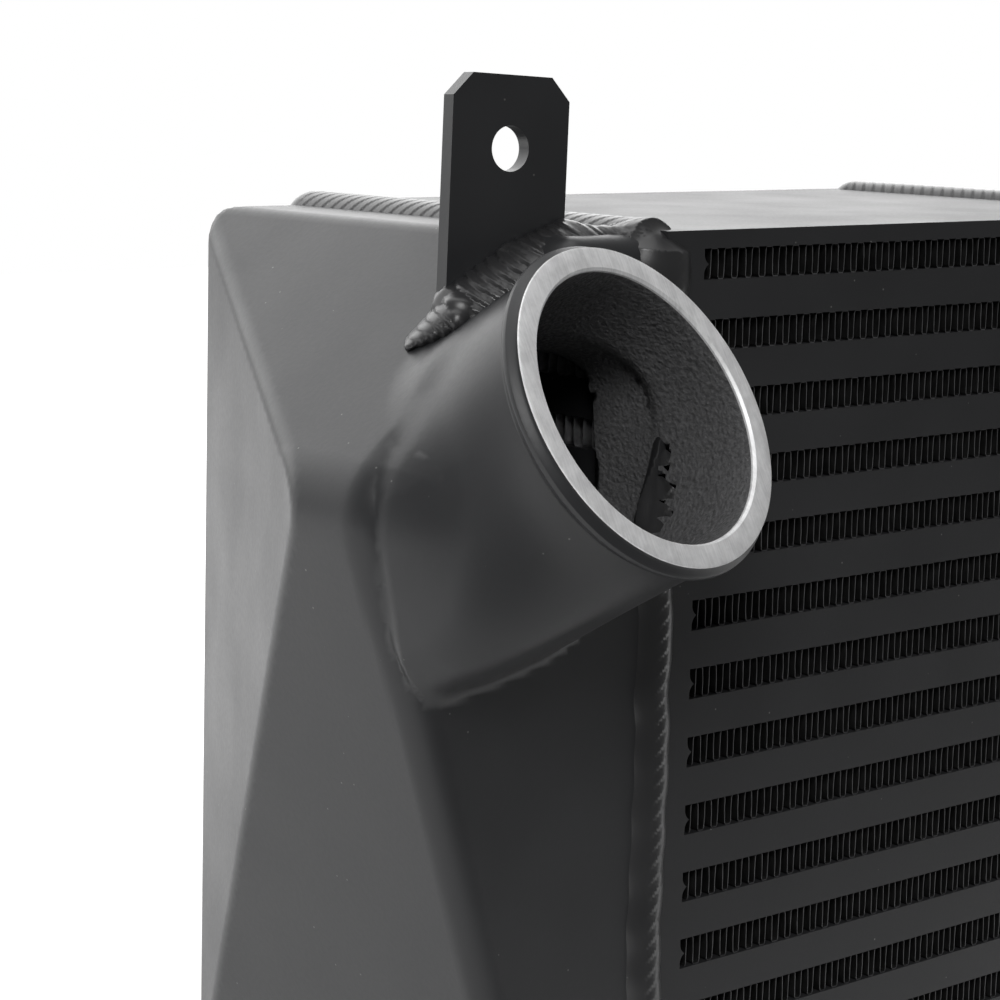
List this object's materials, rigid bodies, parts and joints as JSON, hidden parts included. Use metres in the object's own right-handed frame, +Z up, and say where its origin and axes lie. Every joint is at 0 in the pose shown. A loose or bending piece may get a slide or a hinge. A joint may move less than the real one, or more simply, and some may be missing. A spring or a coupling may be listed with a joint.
{
  "type": "intercooler",
  "caption": "Air-to-air intercooler with a folded-fin bar-and-plate core between two slanted cast end tanks with angled hose necks and drilled mounting tabs.",
  "frame": {"origin": "centre of the core's bottom face", "axes": "+X along the charge air path from the left tank to the right one, -Y out of the front that faces the cooling air, +Z up"},
  "size_m": [0.3342, 0.1571, 0.287],
  "materials": {
    "tank_coating": "satin black powder coat on cast aluminium",
    "core_coating": "satin black coat on the brazed core",
    "bare_aluminium": "dull bare aluminium"
  },
  "bodies": {
    "root": {"bottom_side_plate": "core_coating", "top_side_plate": "core_coating", "cooling_fin_row_01": "core_coating", "cooling_fin_row_02": "core_coating", "cooling_fin_row_03": "core_coating", "cooling_fin_row_04": "core_coating", "cooling_fin_row_05": "core_coating", "cooling_fin_row_06": "core_coating", "cooling_fin_row_07": "core_coating", "cooling_fin_row_08": "core_coating", "cooling_fin_row_09": "core_coating", "cooling_fin_row_10": "core_coating", "cooling_fin_row_11": "core_coating", "cooling_fin_row_12": "core_coating", "cooling_fin_row_13": "core_coating", "cooling_fin_row_14": "core_coating", "cooling_fin_row_15": "core_coating", "cooling_fin_row_16": "core_coating", "cooling_fin_row_17": "core_coating", "cooling_fin_row_18": "core_coating", "charge_passage_01": "core_coating", "charge_passage_02": "core_coating", "charge_passage_03": "core_coating", "charge_passage_04": "core_coating", "charge_passage_05": "core_coating", "charge_passage_06": "core_coating", "charge_passage_07": "core_coating", "charge_passage_08": "core_coating", "charge_passage_09": "core_coating", "charge_passage_10": "core_coating", "charge_passage_11": "core_coating", "charge_passage_12": "core_coating", "charge_passage_13": "core_coating", "charge_passage_14": "core_coating", "charge_passage_15": "core_coating", "charge_passage_16": "core_coating", "charge_passage_17": "core_coating", "turbulator_01": "bare_aluminium", "turbulator_02": "bare_aluminium", "turbulator_03": "bare_aluminium", "turbulator_04": "bare_aluminium", "turbulator_05": "bare_aluminium", "turbulator_06": "bare_aluminium", "turbulator_07": "bare_aluminium", "turbulator_08": "bare_aluminium", "turbulator_09": "bare_aluminium", "turbulator_10": "bare_aluminium", "turbulator_11": "bare_aluminium", "turbulator_12": "bare_aluminium", "turbulator_13": "bare_aluminium", "turbulator_14": "bare_aluminium", "turbulator_15": "bare_aluminium", "turbulator_16": "bare_aluminium", "turbulator_17": "bare_aluminium", "left_end_tank": "tank_coating", "right_end_tank": "tank_coating", "left_mounting_tab": "tank_coating", "right_mounting_tab": "tank_coating", "left_weld": "tank_coating", "right_weld": "tank_coating"}
  },
  "joints": []
}
